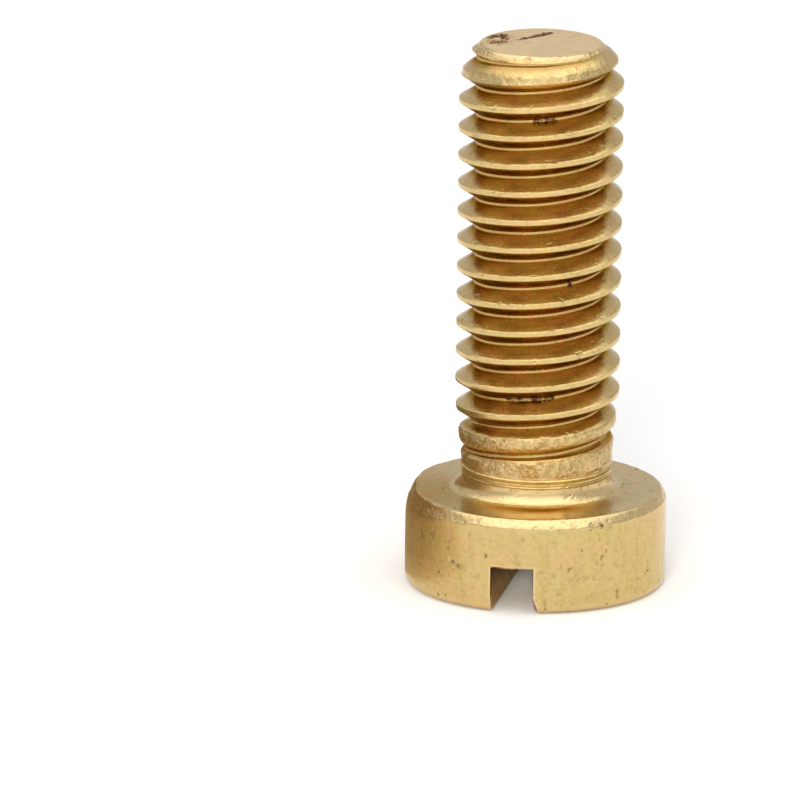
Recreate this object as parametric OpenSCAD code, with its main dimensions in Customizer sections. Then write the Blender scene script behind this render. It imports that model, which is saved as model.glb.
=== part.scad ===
// Slotted cheese head machine screw in brass, standing on its head.
// The axis is Z. The slotted face of the head lies on Z = 0 and the thread points up.

/* [Head] */
// Diameter of the head
head_d = 9.15; // [8:0.05:12]
// Height of the head, from the slotted face to the bearing face
head_h = 3.4; // [2.6:0.05:5]
// Radius that rounds the edge of the slotted face
face_edge_r = 0.3; // [0.05:0.01:0.6]
// Chamfer on the edge of the bearing face
bearing_edge_c = 0.15; // [0.05:0.01:0.4]

/* [Slot] */
// Width of the screwdriver slot
slot_w = 1.45; // [0.8:0.05:2.2]
// Depth of the screwdriver slot
slot_depth = 1.5; // [0.8:0.05:2.2]

/* [Shank] */
// Length of the shank, from the bearing face to the end
shank_l = 16; // [10:0.5:40]
// Diameter of the plain neck, which is the blank that the thread was rolled on
neck_d = 5.22; // [5:0.01:5.5]
// Length of the plain neck
neck_l = 1.05; // [0.8:0.05:3]
// Radius of the fillet where the neck meets the bearing face
fillet_r = 0.35; // [0.1:0.01:0.6]
// Diameter of the flat at the end of the shank
end_flat_d = 4.4; // [3.6:0.05:4.9]
// Diameter where the steep chamfer round that flat gives way to a gentle taper
point_d = 5.25; // [5:0.05:5.55]
// Length of the steep chamfer
point_l = 0.5; // [0.2:0.05:0.8]
// Length over which the crests come down to the flat, chamfer and taper together
taper_l = 1.4; // [0.9:0.05:3]

/* [Thread] */
// Outside diameter over the crests
thread_d = 5.75; // [5.6:0.01:6]
// Distance from one crest to the next
pitch = 1; // [0.75:0.05:1.25]
// Angle between the two flanks of the groove
flank_angle = 60; // [50:1:70]
// Width of the flat left on the crest
crest_w = 0.18; // [0.05:0.01:0.2]
// Width of the flat at the root of the groove
root_w = 0.12; // [0.05:0.01:0.2]
// Length over which the thread fades out into the neck
runout_l = 2.15; // [1:0.05:4]
// Angle round the axis at which a crest would stand level with the bearing face, counted from +X
thread_phase = 190; // [0:5:355]
// Straight steps that one turn of the groove is drawn with
steps_per_turn = 36; // [24:6:60]

/* [Hidden] */
$fn = 96;

// The slot and the cutter for the rounded edge run this far past the faces that they open.
overrun = 0.5;
// How far the groove stands out past the crests, so that its straight steps clear the round shank.
groove_proud = 0.04;

head_r = head_d / 2;
neck_r = neck_d / 2;
thread_r = thread_d / 2;
end_flat_r = end_flat_d / 2;
point_r = point_d / 2;
neck_top = head_h + neck_l;
thread_start = neck_top + runout_l;
screw_top = head_h + shank_l;

flank_slope = tan(flank_angle / 2);
thread_depth = (pitch - crest_w - root_w) / 2 / flank_slope;
root_r = thread_r - thread_depth;
outer_r = thread_r + groove_proud;
outer_w = pitch - crest_w + 2 * groove_proud * flank_slope;
// Where the thread fades out, the groove rises until its root clears the neck.
groove_lift = neck_r - root_r + groove_proud;

// The groove runs from the neck's top, where it is clear of the shank, to past the end of the screw.
groove_low = neck_top;
groove_high = screw_top + pitch;
first_step = ceil((groove_low - groove_z(0)) / pitch * steps_per_turn);
last_step = floor((groove_high - groove_z(0)) / pitch * steps_per_turn);

// Height of the middle of the groove, half a pitch below the crest.
function groove_z(step) =
    head_h - pitch / 2 + pitch * (step / steps_per_turn - thread_phase / 360);

// How far the groove has risen out of the shank at a height z.
function lift(z) =
    z >= thread_start ? 0 : groove_lift * (thread_start - z) / runout_l;

// Four corners of the groove's section at one step, from the root's lower corner to its upper one.
function groove_section(step) =
    let (
        angle = 360 * step / steps_per_turn,
        z = groove_z(step),
        inner = root_r + lift(z),
        outer = outer_r + lift(z),
        corners = [
            [inner, -root_w / 2],
            [outer, -outer_w / 2],
            [outer, outer_w / 2],
            [inner, root_w / 2]
        ]
    )
    [
        for (corner = corners)
            [corner.x * cos(angle), corner.x * sin(angle), z + corner.y]
    ];

// What a corner loses when its edge is rounded. The arc's centre is at the origin and the corner
// lies to its right and below.
module round_corner_cutter(r) {
    difference() {
        translate([0, -r - overrun])
            square([r + overrun, r + overrun]);
        circle(r);
    }
}

// What a fillet fills in an inner corner. The corner is at the origin and opens to the right and up.
module fillet_corner(r) {
    difference() {
        square(r);
        translate([r, r])
            circle(r);
    }
}

// Half of the turned blank's section, with the radius across and the height up.
module blank_outline() {
    difference() {
        polygon([
            [0, 0],
            [head_r, 0],
            [head_r, head_h - bearing_edge_c],
            [head_r - bearing_edge_c, head_h],
            [neck_r, head_h],
            [neck_r, neck_top],
            [thread_r, thread_start],
            [thread_r, screw_top - taper_l],
            [point_r, screw_top - point_l],
            [end_flat_r, screw_top],
            [0, screw_top]
        ]);
        translate([head_r - face_edge_r, face_edge_r])
            round_corner_cutter(face_edge_r);
    }
    translate([neck_r, head_h])
        fillet_corner(fillet_r);
}

// The helical groove between the crests, swept from one section to the next and closed at both ends.
module thread_groove() {
    sections = last_step - first_step;
    points = [
        for (step = [first_step : last_step])
            each groove_section(step)
    ];
    sides = [
        for (i = [0 : sections - 1], corner = [0 : 3])
            let (
                a = 4 * i + corner,
                b = 4 * i + (corner + 1) % 4
            )
            each [[a, b, b + 4], [a, b + 4, a + 4]]
    ];
    first_end = [3, 2, 1, 0];
    last_end = [for (corner = [0 : 3]) 4 * sections + corner];
    polyhedron(points, concat(sides, [first_end, last_end]));
}

// The screwdriver slot, right across the head along Y.
module driver_slot() {
    translate([-slot_w / 2, -head_r - overrun, -overrun])
        cube([slot_w, head_d + 2 * overrun, slot_depth + overrun]);
}

module screw() {
    color([0.85, 0.68, 0.35])
        difference() {
            rotate_extrude()
                blank_outline();
            driver_slot();
            thread_groove();
        }
}

screw();
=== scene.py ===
"""Brass machine screw with a slotted cheese head, standing on its head on a pale floor."""
import logging
import math
from dataclasses import dataclass, field
from enum import Enum

import bmesh
import bpy
from bmesh.types import BMEdge, BMesh, BMFace, BMVert
from mathutils import Matrix, Vector, noise
from mathutils.kdtree import KDTree


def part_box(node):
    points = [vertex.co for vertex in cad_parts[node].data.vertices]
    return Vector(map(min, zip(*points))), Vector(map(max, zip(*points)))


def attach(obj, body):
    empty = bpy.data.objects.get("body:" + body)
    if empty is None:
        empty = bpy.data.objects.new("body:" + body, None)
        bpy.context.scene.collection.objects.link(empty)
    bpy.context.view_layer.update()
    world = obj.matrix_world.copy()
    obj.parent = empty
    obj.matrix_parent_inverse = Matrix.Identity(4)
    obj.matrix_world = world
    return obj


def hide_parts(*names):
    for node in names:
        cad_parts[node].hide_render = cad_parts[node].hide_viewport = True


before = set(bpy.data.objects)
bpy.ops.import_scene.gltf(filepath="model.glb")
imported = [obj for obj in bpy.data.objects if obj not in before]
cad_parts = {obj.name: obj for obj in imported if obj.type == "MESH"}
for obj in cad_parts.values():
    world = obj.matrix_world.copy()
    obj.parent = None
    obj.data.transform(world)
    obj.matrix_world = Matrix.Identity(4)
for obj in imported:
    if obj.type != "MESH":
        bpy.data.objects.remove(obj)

LOG = logging.getLogger("screw")

MM = 0.001
NODE = "screw"
BODY = "root"
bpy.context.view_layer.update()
NODE_LOW, NODE_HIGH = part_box(NODE)

# The screw's width and height come from the frame, in millimetres, and the classes below add the rest.
HEAD_R = (NODE_HIGH.x - NODE_LOW.x) / 2 / MM
SCREW_TOP = NODE_HIGH.z / MM
HEAD_H = 3.4
# The cut end's flat lies this far below the top, so that its marks stay under it.
END_SUNK = 0.02
# Points closer than this become one.
WELD = 0.0005
# How near a point must be to a plane to count as on it, from strict to loose.
HAIR, TOUCH, NEAR = 0.0001, 0.001, 0.01
# How far one step of a seed shifts a pattern of noise along each axis.
SEED_STEPS = (1.0, 1.7, 2.3)
# The middle value of a noise texture.
MEAN_NOISE = 0.5
# A dent's edge wanders by this share of its width, with this many waves across it.
RAGGED_SHARE, RAGGED_WAVES = 0.4, 1.2
# Near a dent's line, edges that are long against its width are cut in two. Both are in dent widths.
REFINED_WIDTHS, FINE_WIDTHS = 0.9, 0.3
# Vertex attribute that runs across the tool's marks first and along them after that, in metres.
LAY = "lay"

Outline = list[tuple[float, float]]
Colour = tuple[float, float, float, float]
Sockets = dict[str, bpy.types.NodeSocket]


class Coat(Enum):
    """Vertex attributes that tell the brass where its skin changes and where shade and highlights are
    painted into its colour.
    """

    STAIN = "stain"
    CRUMBLE = "crumble"
    # Lightening: partly wear on edges and crests, partly painted highlight on the crests, the slot's lips
    # and the fillet.
    RUB_AND_HIGHLIGHT = "rub_and_highlight"
    # Browning of the thread's flanks, the slot and patches of the bearing face: partly tarnishing and
    # grime, partly painted shade in the groove and a painted dark reflection on the bearing face.
    TARNISH_AND_SHADE = "tarnish_and_shade"
    MATT = "matt"


@dataclass(frozen=True)
class Grade:
    """A value that goes from start to end while another one goes from low to high, and holds beyond."""

    low: float
    high: float
    start: float = 0.0
    end: float = 1.0

    def at(self, value: float) -> float:
        """Grade a value, easing in and out."""
        share = min(1.0, max(0.0, (value - self.low) / (self.high - self.low)))
        return self.start + (self.end - self.start) * share * share * (3 - 2 * share)


@dataclass(frozen=True)
class Waves:
    """Smooth unevenness, the same on every run.

    The waves reach their height either way, and per_mm says how many there are in a millimetre.
    The seed makes one pattern differ from another.
    """

    height: float
    per_mm: float
    seed: float

    def at(self, place: Vector) -> float:
        """Give the waves' height at a point in millimetres."""
        shift = Vector([self.seed * step for step in SEED_STEPS])
        return self.height * noise.noise(place * self.per_mm + shift)


def soft_min(a: float, b: float, reach: float) -> float:
    """Take the lower of two lengths and round the corner where they cross.

    Args:
        a: First length.
        b: Second length.
        reach: Difference below which the corner is rounded.

    Returns:
        The rounded minimum.
    """
    share = max(0.0, reach - abs(a - b)) / reach
    return min(a, b) - share * share * reach / 4


def along(line: Outline, height: float) -> float:
    """Read a line of (height, radius) points at one height.

    Args:
        line: Points in rising order of height.
        height: Height to read, held at the line's two ends.

    Returns:
        The radius there.
    """
    if height <= line[0][0]:
        return line[0][1]
    for (low, start), (high, end) in zip(line, line[1:]):
        if height <= high:
            return start + (end - start) * (height - low) / (high - low)
    return line[-1][1]


def polar(angle: float, radius: float, height: float) -> Vector:
    """Place a point round the screw's axis.

    Args:
        angle: Angle from +X in degrees.
        radius: Distance from the axis.
        height: Height above the floor.

    Returns:
        The point.
    """
    turn = math.radians(angle)
    return Vector((radius * math.cos(turn), radius * math.sin(turn), height))


def angle_of(place: Vector) -> float:
    """Give a point's angle round the axis, in degrees from 0 to 360."""
    return math.degrees(math.atan2(place.y, place.x)) % 360


def turned(angle: float, middle: float) -> float:
    """Give the turn from one angle to another, in degrees from -180 to 180."""
    return (angle - middle + 180) % 360 - 180


def arc(centre: tuple[float, float], radius: float, start: float, end: float, steps: int) -> Outline:
    """Step along an arc of an outline.

    Args:
        centre: The arc's centre, as radius and height.
        radius: The arc's own radius.
        start: First angle in degrees, from the outward direction.
        end: Last angle in degrees.
        steps: Number of steps.

    Returns:
        The arc's points, both ends included.
    """
    turns = [math.radians(start + (end - start) * i / steps) for i in range(steps + 1)]
    return [(centre[0] + radius * math.cos(t), centre[1] + radius * math.sin(t)) for t in turns]


def spread(start: float, end: float, steps: int) -> list[float]:
    """Step evenly from one value to another, both included."""
    return [start + (end - start) * i / steps for i in range(steps + 1)]


@dataclass(frozen=True)
class Stretch:
    """A stretch round the screw's axis that fades out to both sides, with its angles in degrees."""

    middle: float
    spread: float

    def share(self, place: Vector) -> float:
        """Say how far a point is within the stretch, from 0 to 1."""
        return math.exp(-(turned(angle_of(place), self.middle) / self.spread) ** 2)


@dataclass(frozen=True)
class BrownPatch:
    """A darker, browner patch of the bearing face, with how strong it is and how it fades with the radius.
    """

    stretch: Stretch
    fade: Grade
    strength: float

    def share(self, place: Vector, radius: float) -> float:
        """Say how brown the patch is at a point, from 0 to 1."""
        return self.strength * (self.stretch.share(place) * self.fade.at(radius))


def with_edges(faces: list[BMFace]) -> list:
    """List faces together with their edges and vertices, each of them once."""
    return list(dict.fromkeys(g for f in faces for g in (f, *f.edges, *f.verts)))


def new_skin() -> BMesh:
    """Start an empty mesh that carries the brass's vertex attributes.

    Returns:
        The mesh.
    """
    bm = bmesh.new()
    for coat in Coat:
        bm.verts.layers.float.new(coat.value)
    bm.verts.layers.float_vector.new(LAY)
    return bm


class Marks:
    """The brass's vertex attributes on one mesh."""

    def __init__(self, bm: BMesh) -> None:
        """Find the attributes.

        Args:
            bm: Mesh that new_skin started.
        """
        self.coats = {coat: bm.verts.layers.float[coat.value] for coat in Coat}
        self.lay = bm.verts.layers.float_vector[LAY]

    def put(self, vert: BMVert, coat: Coat, share: float) -> None:
        """Write one coat of a vertex."""
        vert[self.coats[coat]] = share

    def run(self, vert: BMVert, across: float, *along_marks: float) -> None:
        """Write how the tool's marks run at a vertex, from three lengths in millimetres."""
        vert[self.lay] = Vector((across, *along_marks)) * MM


def revolve(bm: BMesh, chain: list[Vector], steps: int, rise: float = 0.0) -> None:
    """Spin a chain of points a full turn round the screw's axis and merge what meets.

    Args:
        bm: Empty mesh that takes the surface.
        chain: The points, in order.
        steps: Steps in the turn.
        rise: How far the chain climbs in the turn.
    """
    verts = [bm.verts.new(point) for point in chain]
    edges = [bm.edges.new(pair) for pair in zip(verts, verts[1:])]
    bmesh.ops.spin(
        bm,
        geom=verts + edges,
        cent=(0, 0, 0),
        axis=(0, 0, 1),
        dvec=(0, 0, rise / steps),
        angle=math.tau,
        steps=steps,
        use_merge=rise == 0,
    )
    bmesh.ops.remove_doubles(bm, verts=bm.verts, dist=WELD)


def open_edges(bm: BMesh, low: float, high: float) -> list[BMEdge]:
    """Find the open edges of a mesh between two heights."""
    return [e for e in bm.edges if e.is_boundary and all(low < v.co.z < high for v in e.verts)]


def take_in(bm: BMesh, part: BMesh) -> None:
    """Add a part's mesh to another mesh and free the part.

    Args:
        bm: Mesh that takes the part.
        part: The part.
    """
    carrier = bpy.data.meshes.new("carrier")
    part.to_mesh(carrier)
    part.free()
    bm.from_mesh(carrier)
    bpy.data.meshes.remove(carrier)


@dataclass(frozen=True)
class Dent:
    """A pit, nick or scratch, pressed into the skin along a short straight line.

    Each end is (angle in degrees, radius, height) round the axis, in millimetres.
    """

    start: tuple[float, float, float]
    end: tuple[float, float, float]
    width: float
    depth: float
    stain: float = 0.7

    def nearest(self, place: Vector) -> float:
        """Measure how far a point lies from the dent's line.

        Args:
            place: The point.

        Returns:
            The distance in millimetres.
        """
        a, b = polar(*self.start), polar(*self.end)
        run = b - a
        share = (place - a).dot(run) / run.length_squared if run.length_squared else 0.0
        return (place - a - run * min(1.0, max(0.0, share))).length

    def ball(self) -> tuple[Vector, float]:
        """Give the middle and the radius of a ball that holds the dent."""
        a, b = polar(*self.start), polar(*self.end)
        return (a + b) / 2, (b - a).length / 2 + self.width


def pit(angle: float, radius: float, height: float, width: float, depth: float, stain: float = 0.7) -> Dent:
    """Make a round dent.

    Args:
        angle: Angle round the axis in degrees.
        radius: Distance of its middle from the axis.
        height: Height of its middle.
        width: Width across.
        depth: Depth at the middle.
        stain: How dark it is, from 0 to 1.

    Returns:
        The dent.
    """
    place = (angle, radius, height)
    return Dent(place, place, width, depth, stain)


# How deep a dent is and how dark its stain, from its middle at 0 to its edge at 1 and beyond.
DENT_WALL = Grade(0.15, 1.0, 1.0, 0.0)
STAIN_EDGE = Grade(0.1, 1.5, 1.0, 0.0)


def press(bm: BMesh, dents: list[Dent]) -> None:
    """Refine the mesh round each dent, push it in and mark its stain.

    Args:
        bm: Mesh to press.
        dents: The dents.
    """
    stain = bm.verts.layers.float[Coat.STAIN.value]
    for dent in dents:
        middle, span = dent.ball()
        near = {
            edge: None
            for vert in bm.verts
            if (vert.co - middle).length < span and dent.nearest(vert.co) < dent.width * REFINED_WIDTHS
            for edge in vert.link_edges
            if edge.calc_length() > dent.width * FINE_WIDTHS
        }
        bmesh.ops.subdivide_edges(bm, edges=list(near), cuts=1, use_grid_fill=True)
    bmesh.ops.recalc_face_normals(bm, faces=bm.faces)
    bm.normal_update()
    verts = list(bm.verts)
    tree = KDTree(len(verts))
    for i, vert in enumerate(verts):
        tree.insert(vert.co, i)
    tree.balance()
    for seed, dent in enumerate(dents):
        waves = Waves(RAGGED_SHARE, RAGGED_WAVES / dent.width, seed)
        for place, i, _ in tree.find_range(*dent.ball()):
            off = dent.nearest(place) / (dent.width * 0.5 * (1 + waves.at(place)))
            verts[i].co -= verts[i].normal * dent.depth * DENT_WALL.at(off)
            verts[i][stain] = max(verts[i][stain], dent.stain * STAIN_EDGE.at(off))


@dataclass(frozen=True)
class RimWear:
    """How the edge of the bearing face is worn, a little all round and deeply on one stretch.

    Across and down say how far the wear reaches over the bearing face and down the side. The worn
    values are added in the middle of the stretch.
    """

    stretch: Stretch = Stretch(198.0, 46.0)
    across: float = 0.03
    down: float = 0.04
    worn_across: float = 0.3
    worn_down: float = 0.72
    ragged: Waves = Waves(0.15, 1.1, 4)
    ragged_fine: Waves = Waves(0.04, 3.0, 9)
    softness: float = 0.01
    worn_softness: float = 0.4
    edge: Grade = Grade(0.08, 0.3, 1.0, 0.0)
    edge_squash: float = 0.6
    chips: Waves = Waves(1.0, 2.6, 2)
    chip_edge: Grade = Grade(0.12, 0.5)
    chip_depth: float = 0.022
    grain: Waves = Waves(0.01, 5.5, 3)
    sunk: float = 0.004
    crumble: float = 0.22
    worn_crumble: float = 0.18

    def apply(self, vert: BMVert, rim: Vector, skin: float, marks: Marks) -> None:
        """Wear one vertex near the edge.

        Args:
            vert: The vertex.
            rim: The sharp edge, with its radius in x and its height in z.
            skin: How far the plain skin stands out there.
            marks: Attributes of the vertex's mesh.
        """
        place = vert.co.copy()
        radius = math.hypot(place.x, place.y)
        inside, below = rim.x - radius, rim.z - place.z
        worn = self.stretch.share(place)
        ragged = 1 + self.ragged.at(place) + self.ragged_fine.at(place)
        across = self.across + self.worn_across * worn * ragged
        down = self.down + self.worn_down * worn * ragged
        share = 1 - inside / across - below / down
        share = -soft_min(-share, 0.0, self.worn_softness * worn + self.softness)
        inward = Vector((-place.x / radius, -place.y / radius, 0)) * across
        vert.co += (inward - Vector((0, 0, down))) * share * 0.5
        edge = self.edge.at(math.hypot(inside, below * self.edge_squash))
        chips = self.chip_edge.at(self.chips.at(place)) * self.chip_depth + self.grain.at(place)
        vert.co += vert.normal * (skin - edge * (chips + self.sunk))
        marks.put(vert, Coat.CRUMBLE, edge * (self.crumble + self.worn_crumble * worn))
        marks.put(vert, Coat.RUB_AND_HIGHLIGHT, edge)


@dataclass
class CheeseHead:
    """The turned head, from its slotted face on the floor to the neck above its bearing face."""

    radius: float = HEAD_R
    height: float = HEAD_H
    face_edge_r: float = 0.3
    rim_in: float = 0.2
    rim_down: float = 0.3
    # The rounded rim, from the side to the bearing face, as shares of its way in and of its way down.
    rim_section: Outline = field(
        default_factory=lambda: [
            (0.03, 0.94), (0.16, 0.76), (0.36, 0.5), (0.58, 0.26), (0.8, 0.08), (1.0, 0.0),
        ]
    )
    bearing_edge: float = 0.4
    side_waist: float = 2.6
    neck_r: float = 2.61
    fillet_r: float = 0.36
    fillet_stretch: float = 1.5
    # The fine turned rings on the neck, as heights above the bearing face and radii.
    neck_rings: Outline = field(
        default_factory=lambda: [
            (0.54, 2.61), (0.58, 2.606), (0.61, 2.616), (0.65, 2.6), (0.69, 2.614), (0.73, 2.602),
            (0.78, 2.61), (0.82, 2.645), (0.86, 2.648), (0.9, 2.61), (0.93, 2.615),
        ]
    )
    steps: int = 264

    slot_depth: float = 1.6
    slot_w: float = 1.45
    lip: float = 0.07
    # Cuts that refine the slot's walls and floor: their axis, first place, last place and steps.
    slot_cuts: tuple[tuple[int, float, float, int], ...] = (
        (1, -4.4, 4.4, 44), (2, 0.12, 1.44, 11), (0, -0.6, 0.6, 8),
    )
    slot_browning: float = 0.7
    slot_scratch_lean: float = 1.1
    mouth_w: float = 0.1
    # The corner broken off the slot's mouth: its width, length and height, and how far it tapers on.
    chip: Vector = field(default_factory=lambda: Vector((0.33, 0.6, 0.7)))
    chip_taper: float = 1.5

    # The skin's waves, which are sunk so that their tops stay within the turned shape.
    broad_waves: Waves = Waves(0.008, 0.5, 1)
    small_waves: Waves = Waves(0.004, 1.6, 5)
    fine_waves: Waves = Waves(0.0015, 4.5, 17)
    sunk: float = 0.01

    # The zones of the wear, from the bearing face's rim over the neck to the side.
    rim_zone_r: float = 3.2
    rim_zone_z: float = 2.2
    rim_wear: RimWear = RimWear()
    # The patch at 280 degrees, near the neck, is painted shade, a dark reflection of the shank; the one at
    # 205 degrees browns the bearing face's outer edge.
    brown_patches: tuple[BrownPatch, ...] = (
        BrownPatch(Stretch(280.0, 62.0), Grade(3.2, 4.1, 1.0, 0.0), 0.8),
        BrownPatch(Stretch(205.0, 50.0), Grade(4.1, 4.4, 1.0, 0.0), 0.52),
    )
    brown_start: Grade = Grade(2.85, 3.1)
    # A painted highlight: a lighter band round the middle of the fillet, at this height above the bearing
    # face.
    ring_height: float = 0.28
    ring_highlight: Grade = Grade(0.1, 0.34, 0.8, 0.0)
    neck_zone: float = 0.06
    neck_waves: Waves = Waves(0.006, 3.0, 21)
    neck_sunk: float = 0.004
    side_zone: float = 0.6
    face_rub: Grade = Grade(0.2, 0.45, 0.7, 0.0)
    # The slot's lips are coloured lighter, partly wear and partly painted highlight.
    mouth_rub_and_highlight: Grade = Grade(0.03, 0.16, 1.6, 0.0)
    dents: list[Dent] = field(default_factory=list)

    def outline(self) -> Outline:
        """Draw half of the head's section.

        Returns:
            Points as radius and height, from the middle of the slotted face to the neck.
        """
        edge = self.radius - self.face_edge_r
        rim = self.radius - self.rim_in
        foot = self.neck_r + self.fillet_r
        side_top = self.height - self.rim_down
        face = [(r, 0.0) for r in spread(0.0, edge, 8)[:-1]]
        rounding = arc((edge, self.face_edge_r), self.face_edge_r, -90, 0, 6)
        lip_top = self.slot_depth + self.lip
        low = [(self.radius, z) for z in spread(self.face_edge_r, self.slot_depth, 12)[1:]]
        mid = [(self.radius, z) for z in spread(lip_top, self.side_waist, 11)]
        high = [(self.radius, z) for z in spread(self.side_waist, side_top, 7)[1:]]
        bevel = [
            (self.radius - self.rim_in * inward, self.height - self.rim_down * down)
            for inward, down in self.rim_section
        ]
        edge_in = rim - self.bearing_edge
        rings = (*spread(rim, edge_in, 5)[1:], *spread(edge_in, foot, 8)[1:])
        bearing = [(r, self.height) for r in rings]
        fillet = [
            (r, self.height + z * self.fillet_stretch)
            for r, z in arc((foot, self.fillet_r), self.fillet_r, -90, -180, 9)[1:-1]
        ]
        neck = [(r, self.height + z) for z, r in self.neck_rings]
        return face + rounding + low + mid + high + bevel + bearing + fillet + neck

    def build(self) -> BMesh:
        """Spin the head, cut its slot and wear it down.

        Returns:
            The head's mesh, open at the neck.
        """
        bm = new_skin()
        revolve(bm, [Vector((r, 0, z)) for r, z in self.outline()], self.steps)
        bmesh.ops.recalc_face_normals(bm, faces=bm.faces)
        self.cut_slot(bm)
        self.wear(bm)
        self.break_corner(bm)
        press(bm, self.dents)
        return bm

    def cut_slot(self, bm: BMesh) -> None:
        """Cut the driver slot along Y, close it and ease its lips.

        Args:
            bm: Mesh of the turned head.
        """
        half = self.slot_w / 2
        lip_top = self.slot_depth + self.lip - HAIR
        for place in (half, half + self.lip):
            for side in (-1, 1):
                low = [f for f in bm.faces if min(v.co.z for v in f.verts) < lip_top]
                bmesh.ops.bisect_plane(
                    bm, geom=with_edges(low), dist=WELD, plane_co=(side * place, 0, 0), plane_no=(1, 0, 0)
                )
        middles = {f: f.calc_center_median() for f in bm.faces}
        inside = [f for f, m in middles.items() if abs(m.x) < half and m.z < self.slot_depth - HAIR]
        bmesh.ops.delete(bm, geom=inside, context="FACES")
        bm.normal_update()
        mouth = [v for v in bm.verts if v.is_boundary and v.co.z < self.slot_depth + TOUCH]
        for vert in mouth:
            vert.co -= Vector((0, vert.normal.y, vert.normal.z)) * self.lip
        self.wall_slot(bm, mouth)

    def wall_slot(self, bm: BMesh, mouth: list[BMVert]) -> None:
        """Close the slot with its two walls and its floor, with enough points to be marked.

        Args:
            bm: Mesh to close.
            mouth: The open vertices round the slot.
        """
        half = self.slot_w / 2
        top = max(v.co.z for v in mouth)
        corners = {
            (sx, sy): min(mouth, key=lambda v: (v.co - Vector((sx * half, sy * self.radius, top))).length)
            for sx in (-1, 1)
            for sy in (-1, 1)
        }
        joins = [bm.edges.new((corners[sx, -1], corners[sx, 1])) for sx in (-1, 1)]
        around = [e for e in {e: None for v in mouth for e in v.link_edges} if e.is_boundary]
        walls = []
        for side, join in zip((-1, 1), joins):
            ring = [e for e in around if all(abs(v.co.x - side * half) < TOUCH for v in e.verts)]
            walls += bmesh.ops.edgeloop_fill(bm, edges=ring + [join])["faces"]
        ends = [e for e in around if all(abs(v.co.z - top) < NEAR for v in e.verts)]
        ends = [e for e in ends if abs(e.verts[0].co.x - e.verts[1].co.x) > HAIR]
        walls += bmesh.ops.edgeloop_fill(bm, edges=ends + joins)["faces"]
        for axis, first, last, steps in self.slot_cuts:
            normal = Vector((axis == 0, axis == 1, axis == 2))
            for place in spread(first, last, steps):
                geom = with_edges([f for f in walls if f.is_valid])
                made = bmesh.ops.bisect_plane(
                    bm, geom=geom, dist=WELD, plane_co=normal * place, plane_no=normal
                )["geom"]
                walls = [g for g in made if isinstance(g, BMFace)]

    def wear(self, bm: BMesh) -> None:
        """Wear the turned head down, from one zone to the next, and mark its browning, part of which is
        painted shade.

        Args:
            bm: Mesh of the head with its slot.
        """
        marks = Marks(bm)
        rim = Vector((self.radius, 0, self.height))
        bm.normal_update()
        for vert in bm.verts:
            place = vert.co.copy()
            radius, height = math.hypot(place.x, place.y), place.z
            in_slot = abs(place.x) < self.slot_w / 2 + TOUCH and height < self.slot_depth + TOUCH
            on_top = height > self.height - NEAR
            marks.run(vert, radius - height, place.x, place.y)
            if on_top:
                brown = max(patch.share(place, radius) for patch in self.brown_patches)
                marks.put(vert, Coat.TARNISH_AND_SHADE, self.brown_start.at(radius) * brown)
            # The slot's inside is coloured browner and darker.
            if in_slot and radius < self.radius - self.mouth_w:
                marks.put(vert, Coat.TARNISH_AND_SHADE, self.slot_browning)
                marks.run(vert, place.y + self.slot_scratch_lean * height, place.x, 0)
            elif radius > self.rim_zone_r and height > self.rim_zone_z:
                self.rim_wear.apply(vert, rim, self.skin(place), marks)
            elif on_top:
                self.wear_neck(vert, radius, marks)
            elif radius > self.radius - self.side_zone:
                self.wear_side(vert, marks)

    def skin(self, place: Vector) -> float:
        """Say how far the plain skin stands out at a point."""
        return self.broad_waves.at(place) + self.small_waves.at(place) - self.sunk

    def wear_neck(self, vert: BMVert, radius: float, marks: Marks) -> None:
        """Wear one vertex of the fillet or the neck, and paint a lighter highlight band round the fillet.

        Args:
            vert: The vertex.
            radius: Its distance from the axis.
            marks: Attributes of the vertex's mesh.
        """
        place = vert.co.copy()
        off_ring = abs(place.z - self.height - self.ring_height)
        marks.put(vert, Coat.RUB_AND_HIGHLIGHT, self.ring_highlight.at(off_ring))
        if radius < self.neck_r + self.neck_zone:
            vert.co += vert.normal * (self.neck_waves.at(place) - self.neck_sunk)

    def wear_side(self, vert: BMVert, marks: Marks) -> None:
        """Wear one vertex of the side or of the slotted face's edge, and lighten the slot's lips, partly as
        a painted highlight.

        Args:
            vert: The vertex.
            marks: Attributes of the vertex's mesh.
        """
        place = vert.co.copy()
        vert.co += vert.normal * (self.skin(place) + self.fine_waves.at(place))
        past_slot = (abs(place.x) - self.slot_w / 2, place.z - self.slot_depth)
        off_mouth = math.hypot(*(max(0.0, length) for length in past_slot))
        marks.put(vert, Coat.RUB_AND_HIGHLIGHT, max(self.face_rub.at(place.z), self.mouth_rub_and_highlight.at(off_mouth)))

    def break_corner(self, bm: BMesh) -> None:
        """Break one corner of the slot's mouth off, so that the mouth flares there.

        Args:
            bm: Mesh of the head.
        """
        corner = Vector((self.slot_w / 2, -self.radius, 0))
        reach = self.chip_taper * self.chip.x
        for vert in bm.verts:
            off = vert.co - corner
            if vert.co.y > 0 or not -NEAR < off.x < reach:
                continue
            share = max(0.0, 1 - off.y / self.chip.y - off.z / self.chip.z)
            vert.co.x += self.chip.x * share * (1 - max(0.0, off.x) / reach)


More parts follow.
